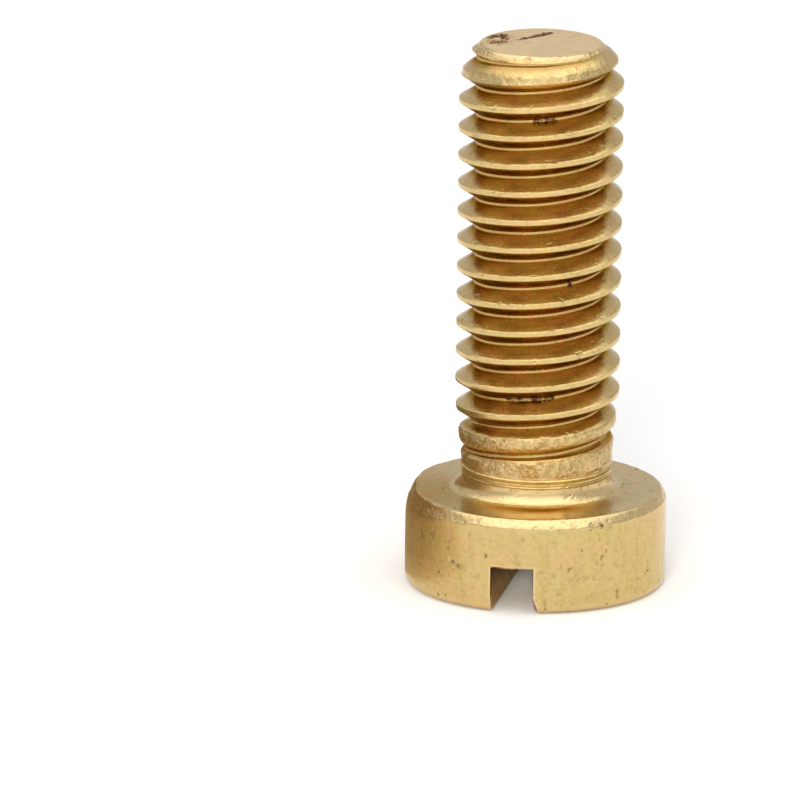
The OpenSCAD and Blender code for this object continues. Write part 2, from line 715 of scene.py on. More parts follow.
@dataclass
class Thread:
    """A right-hand V thread, as its ideal section and the way it winds."""

    crest_r: float = 2.875
    pitch: float = 1.0
    flank_angle: float = 64.0
    crest_w: float = 0.15
    root_w: float = 0.09
    crest_rounding: float = 0.022
    root_rounding: float = 0.02
    least_depth: float = 0.02
    crest_angle: float = 190.0
    # Rows of points in one pitch, as distances from the crest.
    row_places: tuple[float, ...] = (
        -0.092, -0.072, -0.05, 0.05, 0.072, 0.092, 0.115, 0.28, 0.425, 0.462, 0.538, 0.575, 0.72, 0.885,
    )

    @property
    def slope(self) -> float:
        """Depth of a flank for each millimetre along the axis."""
        return 1 / math.tan(math.radians(self.flank_angle / 2))

    @property
    def depth(self) -> float:
        """Depth of the groove."""
        return (self.pitch - self.crest_w - self.root_w) / 2 * self.slope

    def above_crest(self, angle: float, height: float) -> float:
        """Measure how far a point lies above the nearest crest, along the axis.

        Args:
            angle: Angle round the axis in degrees.
            height: Height above the bearing face.

        Returns:
            A length from minus half a pitch to half a pitch.
        """
        turns = height / self.pitch - (angle - self.crest_angle) / 360
        return ((turns + 0.5) % 1 - 0.5) * self.pitch

    def half_groove(self, blank: float, lift: float) -> float:
        """Measure half of the groove's width where it opens.

        Args:
            blank: Radius of the turned blank.
            lift: How far the groove has risen out of the blank.

        Returns:
            The half width, never quite nothing.
        """
        deep = blank - (self.crest_r - self.depth + lift)
        widest = (self.pitch - self.crest_w) / 2
        return min(widest, self.root_w / 2 + max(self.least_depth, deep) / self.slope)

    def moved(self, off_crest: float, half_groove: float) -> float:
        """Move a row of the full thread to the same part of a shallower groove.

        Args:
            off_crest: Distance from the crest along the axis.
            half_groove: Half of the groove's width there.

        Returns:
            The new distance from the crest.
        """
        side, middle = abs(off_crest), self.pitch / 2
        if side > self.crest_w / 2:
            side = middle - (middle - side) * half_groove / (middle - self.crest_w / 2)
        else:
            side *= (middle - half_groove) / (self.crest_w / 2)
        return math.copysign(side, off_crest)

    def radius(self, off_crest: float, lift: float, blank: float, worn: float) -> float:
        """Give the thread's radius.

        Args:
            off_crest: Distance from the crest along the axis.
            lift: How far the groove has risen out of the blank.
            blank: Radius of the turned blank.
            worn: Extra rounding of the crest.

        Returns:
            The radius, rounded at the crest and at the root.
        """
        flank = self.crest_r + lift - (abs(off_crest) - self.crest_w / 2) * self.slope
        root = min(self.crest_r - self.depth + lift, blank)
        return -soft_min(-soft_min(flank, blank, self.crest_rounding + worn), -root, self.root_rounding)


@dataclass
class Spot:
    """Where one vertex of the shank stands on the thread.

    The height is above the bearing face, and past_edge is the way from the crest's edge down the
    flank. Crest and root are 1 there and 0 away from them, fading is 1 where the groove has run out,
    and torn says how torn the crest is.
    """

    place: Vector
    height: float
    off_crest: float
    past_edge: float
    lift: float
    blank: float
    fading: float
    crest: float
    root: float
    torn: float


@dataclass
class Shank:
    """The threaded shank, from the plain neck up to the cut end."""

    thread: Thread = field(default_factory=Thread)
    foot: float = HEAD_H
    top: float = SCREW_TOP
    start: float = 0.98
    spare: float = 0.2
    steps: int = 240
    # The turned blank, as heights above the bearing face and radii.
    blank: Outline = field(
        default_factory=lambda: [
            (0.93, 2.615), (1.04, 2.67), (1.5, 2.69), (2.1, 2.77), (2.6, 2.79), (3.1, 2.855), (3.3, 2.875),
            (14.6, 2.875), (15.03, 2.77), (15.47, 2.65), (16.0, 2.2), (16.2, 2.05),
        ]
    )
    fade_low: float = 1.05
    fade_top: float = 3.3
    fade_lift: float = 0.4
    fade_power: float = 2.2

    # The thread as a whole leans and wanders, but not at the shank's two ends.
    end_lean: float = 0.02
    lean_angle: float = 10.2
    wander: Waves = Waves(0.012, 0.6, 15)
    free_foot: Grade = Grade(0.8, 1.8)
    free_end: Grade = Grade(14.8, 15.8, 1.0, 0.0)

    # Widths over which the crest and the root turn into the flank.
    crest_edge: Grade = Grade(-0.01, 0.05, 1.0, 0.0)
    root_edge: Grade = Grade(0.0, 0.04, 1.0, 0.0)

    # Crests are torn where the thread runs out and, less so, on the end's taper.
    torn_foot: Grade = Grade(0.12, 0.5)
    torn_end: Grade = Grade(14.7, 15.2, 0.0, 0.4)
    worn_foot: Grade = Grade(0.1, 0.6, 0.0, 0.2)
    crest_wear: float = 0.004
    torn_wear: float = 0.022
    tears: Waves = Waves(1.0, 2.2, 6)
    fine_tears: Waves = Waves(0.8, 5.5, 7)
    tears_sunk: float = 0.6
    swell: Waves = Waves(0.004, 0.7, 8)
    gaps: Waves = Waves(1.0, 1.3, 11)
    gap_edge: Grade = Grade(0.62, 0.9)
    gap_depth: float = 0.04
    torn_gaps: float = 0.35
    folds: Waves = Waves(1.0, 2.5, 13)
    fold_height: float = 0.05
    fold_start: Grade = Grade(0.9, 1.3)

    # The flanks are browned: the upper flanks little near the crest and fully at the root, which is painted
    # shade of the deep groove, and the lower flanks all over, which is partly grime and partly painted
    # shade.
    upper_flank_shade: Grade = Grade(0.2, 0.43, 0.08, 1.0)
    lower_flank_dirt_and_shade: float = 0.85
    root_tarnish: float = 0.5
    tarnish_start: Grade = Grade(0.9, 1.6)
    crumble: float = 0.1
    crumble_patches: Waves = Waves(1.0, 1.3, 41)
    patch_edge: Grade = Grade(-0.25, 0.3, 0.5, 1.0)
    smooth_foot: Grade = Grade(0.7, 0.95, 1.0, 0.7)
    # The crests are coloured lighter, partly wear and partly painted highlight, and less so on their upper
    # side, where that painted highlight is dimmed.
    rub_and_highlight: float = 0.3
    torn_rub: float = 0.5
    upper_side: float = 0.06
    upper_rub_and_highlight: float = 0.4
    dents: list[Dent] = field(default_factory=list)

    def build(self) -> BMesh:
        """Wind one turn of the thread, stack copies of it, shape them and trim both ends.

        Returns:
            The shank's mesh, open at both ends.
        """
        bm = new_skin()
        pitch = self.thread.pitch
        rows = (*self.thread.row_places, self.thread.row_places[0] + pitch)
        low = self.foot + pitch * (math.floor(self.start / pitch) - 1)
        chain = [polar(self.thread.crest_angle, self.thread.crest_r, low + place) for place in rows]
        revolve(bm, chain, self.steps, pitch)
        one_turn = bm.verts[:] + bm.edges[:] + bm.faces[:]
        for turn in range(1, math.ceil((self.top + self.spare - low) / pitch) + 2):
            copy = bmesh.ops.duplicate(bm, geom=one_turn)["geom"]
            verts = [g for g in copy if isinstance(g, BMVert)]
            bmesh.ops.translate(bm, verts=verts, vec=(0, 0, pitch * turn))
        bmesh.ops.remove_doubles(bm, verts=bm.verts, dist=WELD)
        self.shape(bm)
        for height, side in ((self.foot + self.start, -1), (self.top, 1)):
            bmesh.ops.bisect_plane(
                bm,
                geom=bm.verts[:] + bm.edges[:] + bm.faces[:],
                dist=2 * TOUCH,
                plane_co=(0, 0, height),
                plane_no=(0, 0, side),
                clear_outer=True,
            )
        press(bm, self.dents)
        return bm

    def shape(self, bm: BMesh) -> None:
        """Move each vertex to the thread's real, slightly worn place and mark it.

        Args:
            bm: Mesh of the shank, wound on the thread's crest radius.
        """
        marks = Marks(bm)
        for vert in bm.verts:
            spot = self.find(vert.co)
            radius = self.worn_radius(spot)
            turn = math.radians(angle_of(spot.place))
            fold = self.fold_start.at(spot.height) * self.fold_height * spot.torn * spot.past_edge
            spot.place.z += fold * self.folds.at(spot.place)
            height = spot.place.z + self.drift(spot.place, spot.height)
            vert.co = (radius * math.cos(turn), radius * math.sin(turn), height)
            marks.run(vert, radius - spot.off_crest, spot.place.x, spot.place.y)
            self.mark(vert, spot, marks)

    def find(self, place: Vector) -> Spot:
        """Say where a point of the wound strip belongs on the thread.

        Args:
            place: The point.

        Returns:
            Its spot, moved along the axis with its row where the groove is shallower.
        """
        thread = self.thread
        place = place.copy()
        height = place.z - self.foot
        row = thread.above_crest(angle_of(place), height)
        lift, blank = self.fade(height)
        groove = thread.half_groove(blank if height < self.fade_top else thread.crest_r, lift)
        off_crest = thread.moved(row, groove)
        place.z += off_crest - row
        height += off_crest - row
        lift, blank = self.fade(height)
        middle = thread.pitch / 2
        fading = self.fading(height)
        past_edge = abs(off_crest) - (middle - thread.half_groove(blank, lift))
        return Spot(
            place=place,
            height=height,
            off_crest=off_crest,
            past_edge=past_edge,
            lift=lift,
            blank=blank,
            fading=fading,
            crest=self.crest_edge.at(past_edge),
            root=self.root_edge.at(middle - abs(off_crest) - thread.root_w / 2),
            torn=max(self.torn_foot.at(fading), self.torn_end.at(height)),
        )

    def worn_radius(self, spot: Spot) -> float:
        """Give the thread's radius at a spot, with its tears and gaps.

        Args:
            spot: The spot.

        Returns:
            The radius.
        """
        place = spot.place
        worn = self.worn_foot.at(spot.fading)
        radius = self.thread.radius(spot.off_crest, spot.lift, spot.blank, worn)
        tears = self.tears.at(place) + self.fine_tears.at(place) - self.tears_sunk
        radius += (self.crest_wear + self.torn_wear * spot.torn) * spot.crest * tears
        radius += self.swell.at(place)
        gaps = self.gap_edge.at(self.gaps.at(place) + self.torn_gaps * spot.torn)
        return radius - self.gap_depth * spot.crest * gaps

    def mark(self, vert: BMVert, spot: Spot, marks: Marks) -> None:
        """Write where a vertex is browned, partly as painted shade, where it is crumbly, and where it is
        lightened, partly as painted highlight.

        Args:
            vert: The vertex.
            spot: Its spot on the thread.
            marks: Attributes of the shank's mesh.
        """
        flank = self.upper_flank_shade.at(spot.off_crest) if spot.off_crest > 0 else self.lower_flank_dirt_and_shade
        flank += (self.root_tarnish - flank) * spot.root
        marks.put(vert, Coat.TARNISH_AND_SHADE, (1 - spot.crest) * self.tarnish_start.at(spot.height) * flank)
        patches = self.patch_edge.at(self.crumble_patches.at(spot.place))
        rough = self.crumble + spot.torn * patches * self.smooth_foot.at(spot.fading)
        marks.put(vert, Coat.CRUMBLE, min(1.0, spot.crest * rough))
        side = 1 if spot.off_crest < self.upper_side else self.upper_rub_and_highlight
        marks.put(vert, Coat.RUB_AND_HIGHLIGHT, spot.crest * (self.rub_and_highlight + self.torn_rub * spot.torn) * side)

    def fading(self, height: float) -> float:
        """Say how far the thread has faded at a height, from 0 to 1 at the foot of its run-out."""
        return max(0.0, (self.fade_top - height) / (self.fade_top - self.fade_low))

    def fade(self, height: float) -> tuple[float, float]:
        """Say how far the groove has risen at a height, and how thick the blank is there.

        Args:
            height: Height above the bearing face.

        Returns:
            The groove's lift and the blank's radius.
        """
        return self.fade_lift * self.fading(height) ** self.fade_power, along(self.blank, height)

    def drift(self, place: Vector, height: float) -> float:
        """Shift a point along the axis, as the real thread wanders a little.

        Args:
            place: The point before it is shaped.
            height: Its height above the bearing face.

        Returns:
            The shift, which fades out at both ends of the shank.
        """
        free = self.free_foot.at(height) * self.free_end.at(height)
        lean = self.end_lean * place.dot(polar(self.lean_angle, 1.0, 0.0))
        return free * (lean + self.wander.at(place))


@dataclass
class CutEnd:
    """The flat, scraped end of the shank, closed from its rim to its middle."""

    height: float = SCREW_TOP
    rim_r: float = 2.2
    rounding: float = 0.16
    rounding_rings: int = 5
    flat_rings: int = 18
    sunk: float = END_SUNK
    hollows: Waves = Waves(0.006, 1.2, 31)
    drop: float = 0.09
    uneven: Waves = Waves(0.6, 0.9, 32)
    settle: float = 0.35
    bright_rim: Grade = Grade(0.0, 0.5)
    level: float = 0.003
    saw_angle: float = 25.0
    saw_stretch: float = 0.3
    dents: list[Dent] = field(default_factory=list)

    def build(self, bm: BMesh, rim: list[BMEdge]) -> None:
        """Extrude the rim inwards, ring by ring, and merge the last ring in the middle.

        Args:
            bm: Mesh to close.
            rim: The open edges at the top of the shank.
        """
        edges = rim
        inner = 1 - self.rounding / self.rim_r
        shares = spread(1.0, inner, self.rounding_rings) + spread(inner, 0.0, self.flat_rings)[1:]
        for outer, share in zip(shares, shares[1:]):
            made = bmesh.ops.extrude_edge_only(bm, edges=edges)["geom"]
            ring = [g for g in made if isinstance(g, BMVert)]
            edges = [g for g in made if isinstance(g, BMEdge) and g.is_boundary]
            for vert in ring:
                vert.co.x *= share / outer
                vert.co.y *= share / outer
        self.scrape(bm)
        bmesh.ops.pointmerge(bm, verts=ring, merge_co=ring[0].co)
        press(bm, self.dents)

    def scrape(self, bm: BMesh) -> None:
        """Round the rim unevenly and leave the saw's marks on the flat.

        Args:
            bm: Mesh of the shank with its closed end.
        """
        marks = Marks(bm)
        saw = polar(self.saw_angle + 90, 1.0, 0.0)
        for vert in [v for v in bm.verts if v.co.z > self.height - self.settle]:
            place = vert.co.copy()
            below = self.height - place.z
            inside = self.rim_r - math.hypot(place.x, place.y)
            fall = min(1.0, max(0.0, 1 - inside / self.rounding))
            rounded = self.drop * fall * fall * (1 + self.uneven.at(place))
            sunk = self.sunk + self.hollows.at(place) + rounded
            vert.co.z -= sunk * Grade(0.0, self.settle, 1.0, 0.0).at(below)
            if below > self.level:
                continue
            for coat in Coat:
                marks.put(vert, coat, 0.0)
            bright = self.bright_rim.at(fall)
            marks.put(vert, Coat.RUB_AND_HIGHLIGHT, bright)
            marks.put(vert, Coat.MATT, 1 - bright)
            marks.run(vert, place.dot(saw), self.saw_stretch * place.x, self.saw_stretch * place.y)


HEAD_DENTS = [
    pit(240.3, HEAD_R, 2.46, 0.16, 0.015, 0.5),
    pit(236.8, HEAD_R, 2.05, 0.16, 0.015, 0.5),
    pit(218.7, HEAD_R, 1.14, 0.2, 0.04, 0.7),
    Dent((240.0, HEAD_R, 1.66), (244.6, HEAD_R, 1.48), 0.17, 0.04, 0.6),
    pit(235.6, HEAD_R, 1.34, 0.17, 0.015, 0.5),
    pit(233.0, HEAD_R, 1.08, 0.19, 0.015, 0.5),
    pit(258.2, HEAD_R, 2.03, 0.22, 0.04, 0.6),
    pit(246.9, HEAD_R, 3.1, 0.22, 0.05, 0.5),
    pit(252.5, HEAD_R, 0.88, 0.18, 0.03, 0.4),
    pit(247.9, HEAD_R, 0.54, 0.18, 0.03, 0.5),
    pit(232.4, HEAD_R, 0.24, 0.2, 0.04, 0.7),
    pit(237.4, HEAD_R, 0.34, 0.16, 0.03, 0.6),
    pit(301.3, HEAD_R, 2.27, 0.15, 0.03, 0.6),
    pit(313.1, HEAD_R, 2.15, 0.14, 0.03, 0.6),
    Dent((311.6, HEAD_R, 2.05), (310.4, HEAD_R, 1.9), 0.13, 0.03, 0.6),
    Dent((339.7, HEAD_R, 1.4), (339.9, HEAD_R, 1.02), 0.2, 0.03, 0.42),
    pit(295.3, HEAD_R, 1.62, 0.28, 0.03, 0.5),
    pit(311.1, HEAD_R, 1.71, 0.15, 0.03, 0.4),
    pit(299.4, HEAD_R, 1.23, 0.18, 0.02, 0.4),
    Dent((319.1, HEAD_R, 0.62), (319.3, HEAD_R, 0.36), 0.2, 0.03, 0.48),
    pit(314.2, HEAD_R - 0.05, 0.2, 0.18, 0.04, 0.7),
    Dent((310.0, HEAD_R, 3.28), (311.0, HEAD_R, 3.06), 0.16, 0.05, 0.6),
    pit(314.4, HEAD_R, 3.2, 0.15, 0.04, 0.6),
    pit(301.3, HEAD_R, 3.28, 0.2, 0.04, 0.4),
    Dent((295.6, HEAD_R, 3.24), (298.4, HEAD_R, 3.12), 0.12, 0.03, 0.5),
    Dent((347.0, HEAD_R - 0.03, 3.32), (352.6, HEAD_R - 0.03, 3.3), 0.1, 0.04, 0.9),
    pit(43.7, 4.24, HEAD_H, 0.16, 0.03, 0.6),
    pit(3.7, 4.05, HEAD_H, 0.16, 0.03, 0.5),
    pit(30.6, 2.82, HEAD_H + 0.03, 0.14, 0.03, 0.5),
    Dent((358.6, 3.0, HEAD_H), (24.0, 3.2, HEAD_H), 0.1, 0.015, 0.5),
    pit(198.0, 3.3, HEAD_H, 0.25, 0.02, 0.5),
    pit(288.2, HEAD_R - 0.03, 3.3, 0.14, 0.03, 0.4),
    pit(298.1, HEAD_R, 3.28, 0.14, 0.03, 0.6),
    pit(318.0, HEAD_R, 3.19, 0.13, 0.03, 0.5),
    pit(326.2, HEAD_R, 3.24, 0.14, 0.03, 0.6),
    pit(338.3, HEAD_R - 0.04, 3.31, 0.12, 0.03, 0.6),
    Dent((284.9, HEAD_R, 0.5), (285.1, HEAD_R, 0.05), 0.2, 0.04, 0.48),
]

SHANK_DENTS = [
    pit(308.7, 2.29, 11.26, 0.2, 0.05, 0.95),
    pit(289.3, 2.29, 13.29, 0.12, 0.03, 0.8),
    Dent((253.5, 2.27, 7.11), (259.5, 2.27, 7.12), 0.18, 0.03, 0.75),
    Dent((263.0, 2.27, 7.14), (270.5, 2.27, 7.12), 0.26, 0.04, 0.8),
    Dent((275.0, 2.27, 7.13), (282.5, 2.27, 7.17), 0.22, 0.04, 0.8),
    Dent((287.0, 2.27, 7.17), (294.8, 2.27, 7.19), 0.14, 0.03, 0.7),
    pit(271.6, 2.35, 6.16, 0.14, 0.03, 0.8),
    pit(258.0, 2.35, 6.13, 0.1, 0.03, 0.7),
    Dent((274.4, 2.27, 17.2), (292.1, 2.27, 17.24), 0.26, 0.03, 0.8),
    pit(261.8, 2.29, 18.23, 0.13, 0.03, 0.8),
    pit(206.0, 2.29, 12.1, 0.3, 0.03, 0.7),
    pit(208.0, 2.29, 16.1, 0.34, 0.04, 0.8),
    pit(204.0, 2.29, 17.1, 0.34, 0.04, 0.8),
    pit(207.0, 2.29, 8.1, 0.26, 0.03, 0.7),
    pit(277.9, 2.86, 8.64, 0.16, 0.06, 0.35),
    pit(320.0, 2.8, 9.79, 0.2, 0.05, 0.0),
    pit(204.0, 2.86, 9.5, 0.34, 0.09, 0.4),
    pit(207.0, 2.78, 5.8, 0.4, 0.08, 0.2),
    pit(222.0, 2.8, 5.95, 0.2, 0.05, 0.2),
    pit(322.0, 2.7, 6.5, 0.2, 0.05, 0.1),
    pit(267.0, 2.86, 10.5, 0.12, 0.03, 0.3),
]

END_TOP = SCREW_TOP - END_SUNK
END_DENTS = [
    Dent((187.5, 1.16, END_TOP), (164.3, 0.9, END_TOP), 0.14, 0.015, 0.45),
    Dent((164.3, 0.9, END_TOP), (114.0, 0.97, END_TOP), 0.34, 0.02, 0.8),
    Dent((114.0, 0.97, END_TOP), (90.7, 1.43, END_TOP), 0.42, 0.025, 1.0),
    Dent((168.3, 1.97, END_TOP), (154.6, 1.73, END_TOP), 0.5, 0.02, 1.0),
    Dent((168.3, 1.97, END_TOP), (192.9, 1.76, END_TOP), 0.4, 0.02, 0.7),
    Dent((154.6, 1.73, END_TOP), (175.8, 1.31, END_TOP), 0.45, 0.02, 0.8),
    Dent((192.9, 1.76, END_TOP), (175.8, 1.31, END_TOP), 0.5, 0.02, 0.8),
    Dent((203.4, 1.55, END_TOP), (190.0, 1.2, END_TOP), 0.5, 0.01, 0.5),
    Dent((185.0, 1.7, END_TOP), (160.0, 1.3, END_TOP), 1.0, 0.005, 0.38),
    Dent((50.0, 1.2, END_TOP), (56.0, 1.38, END_TOP), 0.1, 0.02, 0.5),
    Dent((200.0, 0.3, END_TOP), (300.0, 0.2, END_TOP), 0.1, 0.015, 0.4),
    Dent((120.0, 0.5, END_TOP), (60.0, 0.45, END_TOP), 0.1, 0.015, 0.35),
    Dent((262.5, 2.2, END_TOP - 0.03), (270.5, 2.22, END_TOP - 0.05), 0.22, 0.09, 0.35),
    Dent((205.0, 2.2, END_TOP - 0.04), (214.0, 2.2, END_TOP - 0.04), 0.2, 0.05, 0.1),
    Dent((330.0, 2.22, END_TOP - 0.05), (341.0, 2.2, END_TOP - 0.04), 0.18, 0.04, 0.1),
]


@dataclass(frozen=True)
class Grain:
    """A pattern of noise in a finish, with its waves in a millimetre and its levels of detail."""

    per_mm: float
    detail: float


class Graph:
    """The node graph of one material, around one Principled shader."""

    def __init__(self, name: str) -> None:
        """Start a material that holds only its shader and its output.

        Args:
            name: The material's name.
        """
        self.material = bpy.data.materials.new(name)
        self.material.use_nodes = True
        self.tree = self.material.node_tree
        self.tree.nodes.clear()
        self.shader = self.add("ShaderNodeBsdfPrincipled")
        output = self.add("ShaderNodeOutputMaterial")
        self.give(output.inputs["Surface"], self.shader.outputs["BSDF"])

    def give(self, socket: bpy.types.NodeSocket, value: object) -> None:
        """Feed an input.

        Args:
            socket: The input.
            value: An output to link to it, or its own value.
        """
        if isinstance(value, bpy.types.NodeSocket):
            self.tree.links.new(value, socket)
        else:
            socket.default_value = value

    def add(self, kind: str, sockets: dict | None = None, **settings: object) -> bpy.types.Node:
        """Add a node.

        Args:
            kind: Blender's name of the node type.
            sockets: Values or outputs for its inputs, by name or by number.
            settings: The node's own properties.

        Returns:
            The node.
        """
        node = self.tree.nodes.new(kind)
        for key, value in settings.items():
            setattr(node, key, value)
        for key, value in (sockets or {}).items():
            self.give(node.inputs[key], value)
        return node

    def shade(self, **values: object) -> None:
        """Feed the shader's inputs.

        Args:
            values: Each input's value or output, under its name with underscores for spaces.
        """
        for name, value in values.items():
            self.give(self.shader.inputs[name.replace("_", " ")], value)

    def place(self) -> bpy.types.NodeSocket:
        """Read the place on the object."""
        return self.add("ShaderNodeTexCoord").outputs["Object"]

    def math(self, operation: str, *values: object) -> bpy.types.NodeSocket:
        """Work out one number from others."""
        return self.add("ShaderNodeMath", dict(enumerate(values)), operation=operation).outputs[0]

    def highest(self, first: object, *others: object) -> bpy.types.NodeSocket:
        """Take the highest of some numbers.

        Args:
            first: The first number.
            others: The others.

        Returns:
            The highest.
        """
        for other in others:
            first = self.math("MAXIMUM", first, other)
        return first

    def stretched(self, place: bpy.types.NodeSocket, scale: tuple[float, ...]) -> bpy.types.NodeSocket:
        """Scale a place along its three axes."""
        return self.add("ShaderNodeVectorMath", {0: place, 1: scale}, operation="MULTIPLY").outputs[0]

    def noise(self, place: bpy.types.NodeSocket, grain: Grain) -> bpy.types.NodeSocket:
        """Read a pattern of noise at a place."""
        sockets = {"Vector": place, "Scale": grain.per_mm / MM, "Detail": grain.detail}
        return self.add("ShaderNodeTexNoise", sockets).outputs["Fac"]

    def graded(self, value: bpy.types.NodeSocket, grade: Grade) -> bpy.types.NodeSocket:
        """Grade a value evenly, held at both ends.

        Args:
            value: The value.
            grade: Its bounds and what they become.

        Returns:
            The graded value.
        """
        bounds = {"From Min": grade.low, "From Max": grade.high, "To Min": grade.start, "To Max": grade.end}
        return self.add("ShaderNodeMapRange", {"Value": value, **bounds}).outputs[0]

    def mix(self, share: object, a: object, b: object) -> bpy.types.NodeSocket:
        """Mix two colours."""
        return self.add("ShaderNodeMix", {0: share, 6: a, 7: b}, data_type="RGBA").outputs[2]

    def attribute(self, name: str, output: str = "Fac") -> bpy.types.NodeSocket:
        """Read one of the mesh's vertex attributes."""
        return self.add("ShaderNodeAttribute", attribute_name=name).outputs[output]


@dataclass(frozen=True)
class BrassFinish:
    """Turned and handled brass: golden and mottled, browned in the thread, partly as painted shade of its
    groove, with dark stains in its pits and painted highlights on its edges.
    """

    name: str = "turned_brass"
    golden: Colour = (0.63, 0.46, 0.2, 1.0)
    greenish: Colour = (0.6, 0.47, 0.19, 1.0)
    rosy: Colour = (0.66, 0.45, 0.215, 1.0)
    dull: Colour = (0.46, 0.32, 0.115, 1.0)
    tarnish_and_shade_brown: Colour = (0.4, 0.24, 0.05, 1.0)
    reddened: Colour = (0.46, 0.215, 0.06, 1.0)
    edge_tint: Colour = (1.0, 0.97, 0.92, 1.0)
    stain_and_shade: Colour = (0.11, 0.045, 0.025, 1.0)
    crumbly: Colour = (0.36, 0.21, 0.07, 1.0)
    rub_and_highlight_colour: Colour = (0.74, 0.55, 0.3, 1.0)
    # Paler, pinker colour of the saw-cut flat, partly its own and partly painted light for the brighter
    # light that it catches.
    sawn_and_lit: Colour = (0.8, 0.61, 0.38, 1.0)

    broad: Grain = Grain(0.6, 3.0)
    patches: Grain = Grain(2.2, 4.0)
    mottle: Grain = Grain(6.0, 4.0)
    speckle: Grain = Grain(11.0, 3.0)
    clumps: Grain = Grain(7.0, 2.0)
    fine: Grain = Grain(24.0, 2.0)
    dimples: Grain = Grain(3.6, 1.0)
    smears: Grain = Grain(2.6, 3.0)
    streaks: Grain = Grain(7.0, 4.0)
    lines: Grain = Grain(20.0, 2.0)
    # Smears run up the screw, and streaks and lines run along the tool's marks.
    smear_scale: tuple[float, float, float] = (1.0, 1.0, 0.25)
    lay_scale: tuple[float, float, float] = (1.0, 0.08, 0.08)

    # Shares of the colours, from the patterns' values.
    green_share: Grade = Grade(0.4, 0.6)
    rosy_share: Grade = Grade(0.5, 0.68, 0.0, 0.8)
    mottle_share: Grade = Grade(0.42, 0.66, 0.0, 0.4)
    smear_share: Grade = Grade(0.5, 0.7, 0.0, 0.3)
    red_share: Grade = Grade(0.42, 0.62)
    streaky_share: Grade = Grade(0.3, 0.65, 0.6, 1.15)
    crumb_share: Grade = Grade(0.42, 0.62, 0.0, 0.75)
    speck_share: Grade = Grade(0.66, 0.76, 0.0, 0.45)
    pit_share: Grade = Grade(0.6, 0.7)
    pitted_share: Grade = Grade(0.45, 0.62, 0.25, 1.0)
    blot_share: Grade = Grade(0.25, 0.9)
    stain_share: Grade = Grade(0.05, 0.5)
    # The deepest browning, on the lower flanks, goes dark: partly grime, partly painted shade.
    deep_dirt_and_shade_share: Grade = Grade(0.72, 1.0, 0.0, 0.45)
    # Where the brass is browned and where it is darkened, its grazing tint takes its own colour: painted
    # shade.
    dark_share: Grade = Grade(0.2, 1.0)
    rub_and_highlight_share: float = 0.6
    matt_share: float = 0.7
    pit_dirt: float = 0.25
    clumpy_blots: float = 1.8

    roughness: Grade = Grade(0.3, 0.7, 0.16, 0.26)
    dirt_roughness: float = 0.3
    crumble_roughness: float = 0.12
    matt_roughness: float = 0.24
    tarnish_roughness: Grade = Grade(0.0, 0.15, 0.0, 0.02)

    # Heights of the marks, as shares of the streaks' height, which is in millimetres.
    mark_height: float = 0.005
    line_height: float = 0.5
    mottle_height: float = 0.9
    speckle_height: Grade = Grade(0.0, 1.0, 0.2, 4.0)
    clump_height: Grade = Grade(0.0, 1.0, 0.0, -14.0)
    pit_height: float = -2.5

    def build(self) -> bpy.types.Material:
        """Make the material.

        Returns:
            The material, which reads object coordinates and the screw's attributes.
        """
        graph = Graph(self.name)
        seen = self.patterns(graph)
        # How brown the tarnishing and the painted shade are, broken into streaks.
        skin = graph.math("MULTIPLY", seen["tarnish_and_shade"], graph.graded(seen["streaks"], self.streaky_share))
        pits = self.pits(graph, seen)
        spots = graph.highest(self.blots(graph, seen), graph.graded(seen["speckle"], self.speck_share))
        pit_dirt = graph.math("MULTIPLY", pits, self.pit_dirt)
        # Stains, specks, pits and the painted shade of the deep groove darken the colour.
        dirt_and_shade = graph.highest(spots, graph.graded(skin, self.deep_dirt_and_shade_share), pit_dirt)
        dark = graph.highest(graph.graded(seen["tarnish_and_shade"], self.dark_share), dirt_and_shade)
        colour = graph.mix(dirt_and_shade, self.metal(graph, seen, skin), self.stain_and_shade)
        graph.shade(
            Base_Color=colour,
            # Browned and darkened parts keep their own colour at a slant, which paints shade into the
            # groove.
            Specular_Tint=graph.mix(dark, self.edge_tint, colour),
            Metallic=1.0,
            Roughness=self.rough(graph, seen, spots),
            Normal=self.marks(graph, seen, pits),
        )
        return graph.material

    def patterns(self, graph: Graph) -> Sockets:
        """Read the patterns of noise and the screw's attributes.

        Args:
            graph: The material's graph.

        Returns:
            Each pattern and each coat by its name.
        """
        place = graph.place()
        upright = graph.stretched(place, self.smear_scale)
        lay = graph.stretched(graph.attribute(LAY, "Vector"), self.lay_scale)
        seen = {
            "broad": graph.noise(place, self.broad),
            "patches": graph.noise(place, self.patches),
            "mottle": graph.noise(place, self.mottle),
            "speckle": graph.noise(place, self.speckle),
            "clumps": graph.noise(place, self.clumps),
            "fine": graph.noise(place, self.fine),
            "dimples": graph.noise(place, self.dimples),
            "smears": graph.noise(upright, self.smears),
            "streaks": graph.noise(lay, self.streaks),
            "lines": graph.noise(lay, self.lines),
        }
        return seen | {coat.value: graph.attribute(coat.value) for coat in Coat}

    def pits(self, graph: Graph, seen: Sockets) -> bpy.types.NodeSocket:
        """Scatter shallow pits over the clean brass.

        Args:
            graph: The material's graph.
            seen: Its patterns and coats.

        Returns:
            How deep the pits are, from 0 to 1.
        """
        dimples = graph.graded(seen["dimples"], self.pit_share)
        pits = graph.math("MULTIPLY", dimples, graph.graded(seen["broad"], self.pitted_share))
        return graph.math("MULTIPLY", pits, graph.math("SUBTRACT", 1.0, seen["tarnish_and_shade"]))

